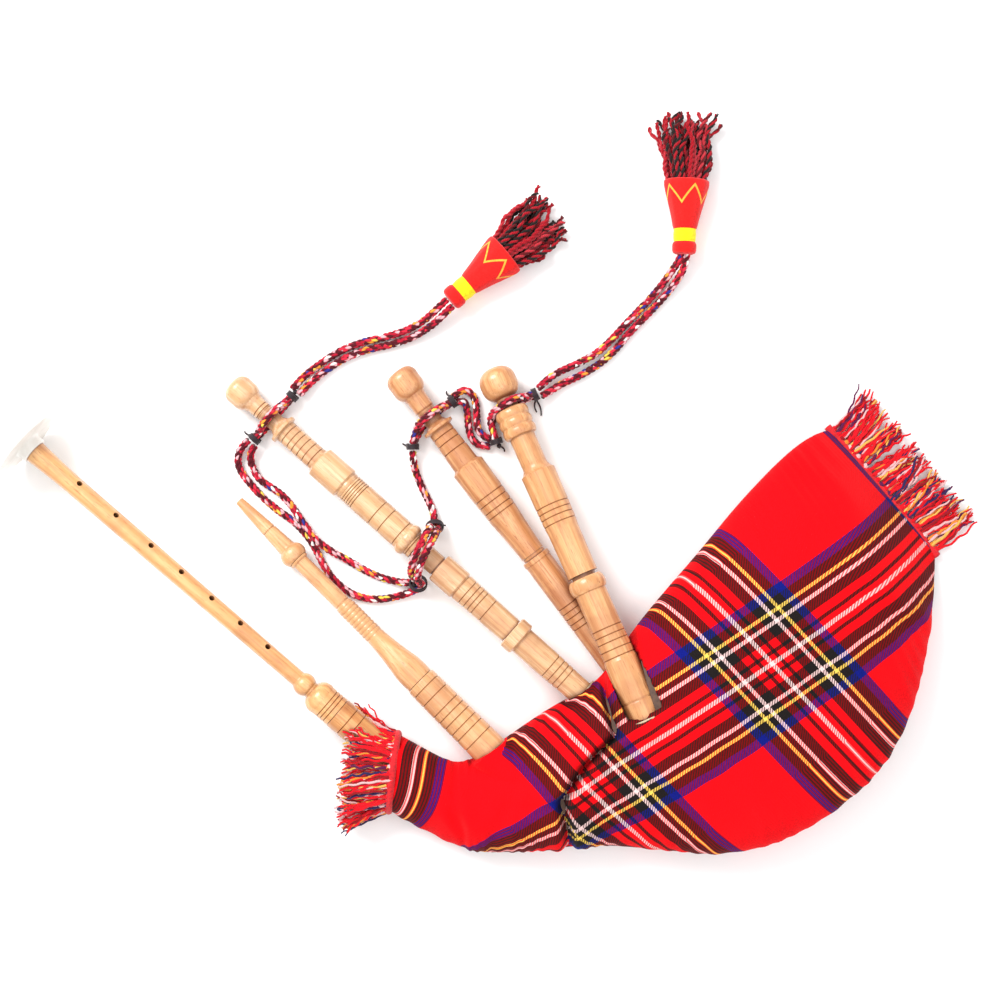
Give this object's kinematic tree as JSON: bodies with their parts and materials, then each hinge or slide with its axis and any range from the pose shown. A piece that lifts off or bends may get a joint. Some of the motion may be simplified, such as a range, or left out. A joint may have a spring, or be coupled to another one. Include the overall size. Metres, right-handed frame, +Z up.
{
  "type": "bagpipes",
  "caption": "Small Highland bagpipes lying on their side: turned wooden drones, blowpipe and chanter in a red tartan bag with fringes, tied drone cord and tassels",
  "frame": {"origin": "on the surface that it lies on, under the middle of the bag, pipes and fringes without the cord and tassels", "axes": "+Z up from the surface; +X from the chanter's sole towards the bag's far fringe; +Y from the bag towards the drone ends and tassels"},
  "size_m": [0.683, 0.513, 0.0682],
  "materials": {
    "turned_wood": "satin",
    "pale_wood": "satin",
    "orange_wood": "satin",
    "tartan_cloth": "matte",
    "fringe_wool": "matte",
    "cord_wool": "matte",
    "dark_thread": "matte",
    "hemp_thread": "matte",
    "bag_leather": "matte",
    "reed_cane": "satin",
    "white_plastic": "satin",
    "valve_rubber": "matte"
  },
  "bodies": {
    "bag": {"bag_cover": "tartan_cloth", "air_bag": "bag_leather", "neck_fringe": "fringe_wool", "end_fringe": "fringe_wool", "stock_bindings": "hemp_thread", "bass_stock": "turned_wood", "tenor_left_stock": "turned_wood", "tenor_right_stock": "pale_wood", "blowpipe_stock": "pale_wood", "chanter_stock": "orange_wood", "left_tassel_cord_a": "cord_wool", "left_tassel_cord_b": "cord_wool", "outer_strand": "cord_wool", "inner_strand": "cord_wool", "pin_strand_a": "cord_wool", "pin_strand_b": "cord_wool", "middle_cord": "cord_wool", "hank_strand_a": "cord_wool", "hank_strand_b": "cord_wool", "right_tassel_cord_a": "cord_wool", "right_tassel_cord_b": "cord_wool", "cord_ties": "dark_thread", "tassel_left_head": "cord_wool", "tassel_left_skirt": "cord_wool", "tassel_right_head": "cord_wool", "tassel_right_skirt": "cord_wool"},
    "bass_top": {"bass_top": "turned_wood", "bass_cord_loop": "cord_wool", "bass_cord_ties": "dark_thread"},
    "bass_bottom": {"bass_bottom": "turned_wood", "bass_hemp": "hemp_thread", "bass_reed": "reed_cane"},
    "tenor_left_top": {"tenor_left_top": "turned_wood", "tenor_left_cord_loop": "cord_wool", "tenor_left_cord_ties": "dark_thread"},
    "tenor_left_bottom": {"tenor_left_bottom": "turned_wood", "tenor_left_hemp": "hemp_thread", "tenor_left_reed": "reed_cane"},
    "tenor_right_top": {"tenor_right_top": "turned_wood", "tenor_right_cord_loop": "cord_wool", "tenor_right_cord_ties": "dark_thread"},
    "tenor_right_bottom": {"tenor_right_bottom": "turned_wood", "tenor_right_hemp": "hemp_thread", "tenor_right_reed": "reed_cane"},
    "blowpipe": {"blowpipe": "turned_wood", "blowpipe_hemp": "hemp_thread", "valve_seat": "valve_rubber"},
    "mouthpiece": {"mouthpiece": "turned_wood"},
    "valve_flap": {"valve_flap": "valve_rubber"},
    "chanter": {"chanter": "turned_wood", "chanter_sole": "white_plastic", "chanter_hemp": "hemp_thread", "chanter_reed": "reed_cane"}
  },
  "joints": [
    {"name": "chanter_turn", "type": "hinge", "parent": "bag", "child": "chanter", "pos_m": [-0.10522, -0.07315, 0.02197], "axis": [0.7553, -0.6552, -0.018], "continuous": true},
    {"name": "blowpipe_turn", "type": "hinge", "parent": "bag", "child": "blowpipe", "pos_m": [-0.04776, -0.05248, 0.02082], "axis": [0.7126, -0.6966, 0.0828], "continuous": true},
    {"name": "mouthpiece_turn", "type": "hinge", "parent": "blowpipe", "child": "mouthpiece", "pos_m": [-0.14397, 0.04157, 0.00964], "axis": [0.7126, -0.6966, 0.0828], "continuous": true},
    {"name": "valve_swing", "type": "hinge", "parent": "blowpipe", "child": "valve_flap", "pos_m": [-0.03194, -0.06795, 0.02808], "axis": [-0.699, -0.7151, 0], "range_deg": [0, 30]},
    {"name": "bass_bottom_turn", "type": "hinge", "parent": "bag", "child": "bass_bottom", "pos_m": [0.01873, -0.02083, 0.02666], "axis": [0.7494, -0.6597, 0.0567], "continuous": true},
    {"name": "tenor_left_bottom_turn", "type": "hinge", "parent": "bag", "child": "tenor_left_bottom", "pos_m": [0.03253, 0.02949, 0.01661], "axis": [0.5996, -0.8, 0.0201], "continuous": true},
    {"name": "tenor_right_bottom_turn", "type": "hinge", "parent": "bag", "child": "tenor_right_bottom", "pos_m": [0.06431, 0.01309, 0.03544], "axis": [0.3971, -0.9077, 0.1355], "continuous": true},
    {"name": "bass_tuning", "type": "slide", "parent": "bag", "child": "bass_top", "axis": [-0.7494, 0.6597, -0.0567], "range_m": [-0.018, 0.012]},
    {"name": "tenor_left_tuning", "type": "slide", "parent": "bag", "child": "tenor_left_top", "axis": [-0.5996, 0.8, -0.0201], "range_m": [0, 0.01]},
    {"name": "tenor_right_tuning", "type": "slide", "parent": "bag", "child": "tenor_right_top", "axis": [-0.3971, 0.9077, -0.1355], "range_m": [0, 0.01]}
  ]
}
